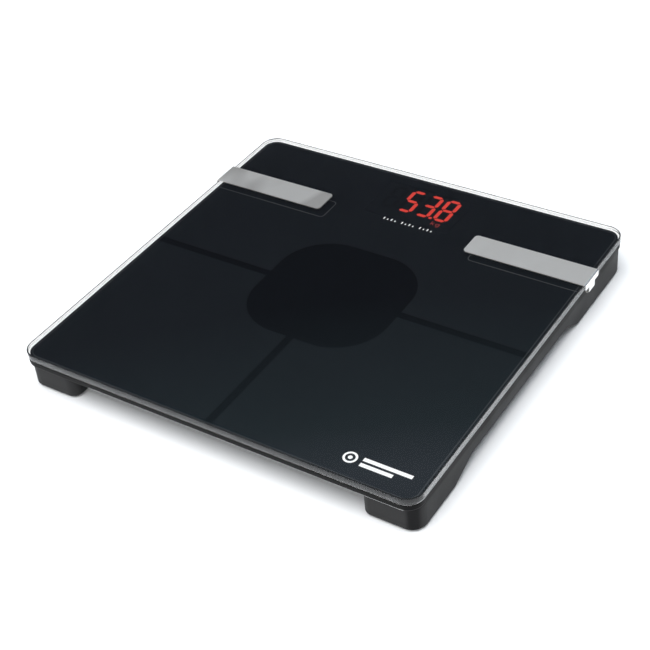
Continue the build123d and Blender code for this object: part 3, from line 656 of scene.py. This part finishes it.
def paint_cad_nodes():
    """Gives every CAD node that stays its material, by its slot in the record."""
    enamel = enamel_print()
    by_slot = {
        "black_enamel": enamel,
        "mask": enamel,
        "white_foam": moulded_plastic("white_foam", (0.86, 0.87, 0.86), 0.8),
        "lit_red": lit_guide(),
        "smoked": moulded_plastic("smoked_guide", (0.0078, 0.0082, 0.0095), 0.4, FINE_GRAIN, 0.0),
        "display_plastic": moulded_plastic("reflector_plastic", (0.75, 0.75, 0.73), 0.5),
        "tinned_steel": steel("tinned_steel", (0.72, 0.72, 0.70), 0.3),
        "black_foam": moulded_plastic("black_foam", (0.03, 0.03, 0.03), 0.9),
        "circuit_board": moulded_plastic("solder_mask", (0.03, 0.22, 0.1), 0.3, FINE_GRAIN),
        "chip_plastic": moulded_plastic("chip_plastic", (0.025, 0.025, 0.027), 0.6),
        "casing": casing_plastic(),
        "contact_steel": steel("contact_steel", (0.78, 0.77, 0.74), 0.25),
        "clear_adhesive": moulded_plastic("clear_adhesive", (0.4, 0.4, 0.4), 0.3, FINE_GRAIN),
        "screw_steel": steel("screw_steel", (0.6, 0.6, 0.62), 0.3),
        "battery_jacket": battery_jacket("battery_jacket", 1),
        "electrode_steel": electrode_steel(),
        "lead_red": moulded_plastic("lead_red", (0.5, 0.03, 0.03), 0.35, FINE_GRAIN),
        "lead_white": moulded_plastic("lead_white", (0.8, 0.8, 0.78), 0.35, FINE_GRAIN),
        "pad_rubber": moulded_plastic("pad_rubber", (0.02, 0.02, 0.02), 0.8, RUBBER_GRAIN),
        "foot_plastic": moulded_plastic("foot_plastic", (0.035, 0.035, 0.037)),
        "cell_steel": steel("cell_steel", (0.5, 0.5, 0.51), 0.35),
    }
    for entry in frame["record"]["subparts"]:
        if entry["material_slot"] in by_slot:
            paint(entry["node"], by_slot[entry["material_slot"]])
    paint("battery_2", battery_jacket("battery_jacket_turned", -1))


# ---------------------------------------------------------------- floor, light, camera


def add_floor():
    """Pale round floor, slightly lit from 1.5 m out so that it stays pale to the horizon."""
    radius = 8.0
    bm = bmesh.new()
    bmesh.ops.create_circle(bm, cap_ends=True, segments=64, radius=radius)
    mesh = to_mesh("floor", bm)
    floor = bpy.data.objects.new("floor", mesh)
    bpy.context.scene.collection.objects.link(floor)
    m = Nodes("studio_floor")
    m.colour(m.mix(m.noise(m.place(), 3, 3), (0.93, 0.93, 0.93), (0.96, 0.96, 0.96)))
    length = m.add("ShaderNodeVectorMath", operation="LENGTH")
    m.link(m.place(), length.inputs[0])
    far_glow = m.ramp(length.outputs["Value"], (1.5, 0.0), (3.5, 0.75))
    m.link(far_glow, m.shader.inputs["Emission Strength"])
    m.set(Roughness=0.9, Emission_Color=(1, 1, 1, 1))
    mesh.materials.append(m.material)


def add_area(name, place, aim, size, watts):
    """A soft rectangular light that reflections don't show."""
    light = bpy.data.lights.new(name, "AREA")
    light.shape = "RECTANGLE"
    light.size, light.size_y = size
    light.energy = watts
    obj = bpy.data.objects.new(name, light)
    obj.location = place
    obj.rotation_euler = (Vector(aim) - Vector(place)).to_track_quat("-Z", "Y").to_euler()
    obj.visible_glossy = False
    bpy.context.scene.collection.objects.link(obj)


# Surroundings: sine of the height above the horizon, and colour
SKY = (
    (0.0, (0.95, 0.95, 0.95)),
    (0.10, (0.90, 0.90, 0.90)),
    (0.20, (0.25, 0.25, 0.26)),
    (0.30, (0.12, 0.12, 0.125)),
    (0.55, (0.070, 0.082, 0.105)),
    (0.61, (0.088, 0.108, 0.135)),
    (0.66, (0.165, 0.235, 0.275)),
    (0.675, (0.200, 0.290, 0.335)),
    (0.70, (0.430, 0.520, 0.620)),
    (1.0, (0.45, 0.50, 0.55)),
)


def add_world():
    """Studio surroundings: white at the horizon, dim above it, brighter and bluer overhead."""
    world = bpy.data.worlds.new("studio")
    bpy.context.scene.world = world
    world.use_nodes = True
    tree = world.node_tree
    direction = tree.nodes.new("ShaderNodeTexCoord")
    split = tree.nodes.new("ShaderNodeSeparateXYZ")
    tree.links.new(direction.outputs["Generated"], split.inputs["Vector"])
    ramp = tree.nodes.new("ShaderNodeValToRGB")
    tree.links.new(split.outputs["Z"], ramp.inputs["Fac"])
    stops = ramp.color_ramp.elements
    for stop, (place, colour) in zip(stops, (SKY[0], SKY[-1])):
        stop.position, stop.color = place, (*colour, 1)
    for place, colour in SKY[1:-1]:
        stops.new(place).color = (*colour, 1)
    tree.links.new(ramp.outputs["Color"], tree.nodes["Background"].inputs["Color"])
    tree.nodes["Background"].inputs["Strength"].default_value = 1.0


def add_lights():
    add_area("overhead", (0.0, -0.6, 2.2), (0, 0, 0), (2.4, 2.4), 78)
    add_area("front", (0.30, -1.2, 0.40), (0.1, 0, 0), (0.8, 0.5), 5.5)


def add_camera():
    """Camera to the right of the front, tilted down and rolled slightly."""
    azimuth, elevation, roll = (math.radians(a) for a in (35.83, 38.41, 5.765))
    distance = 0.94879
    aim = Vector((0.01717, -0.03482, PLATE_HIGH.z))
    back = Vector(
        (
            math.sin(azimuth) * math.cos(elevation),
            -math.cos(azimuth) * math.cos(elevation),
            math.sin(elevation),
        )
    )
    camera = bpy.data.cameras.new("camera")
    camera.lens = 79.73
    camera.sensor_width = 36.0
    camera.clip_start = 0.01
    obj = bpy.data.objects.new("camera", camera)
    turn = back.to_track_quat("Z", "Y").to_matrix().to_4x4() @ Matrix.Rotation(-roll, 4, "Z")
    obj.matrix_world = Matrix.Translation(aim + back * distance) @ turn
    bpy.context.scene.collection.objects.link(obj)
    bpy.context.scene.camera = obj


add_camera()
add_floor()
add_world()
add_lights()
paint_cad_nodes()
glass_plate()
# The white border, ticks and maker mark glow: painted light
white = white_enamel()
white_border(white)
tick_row(white)
maker_mark(white)
unit_mark()
bpy.context.scene.view_settings.view_transform = "Standard"
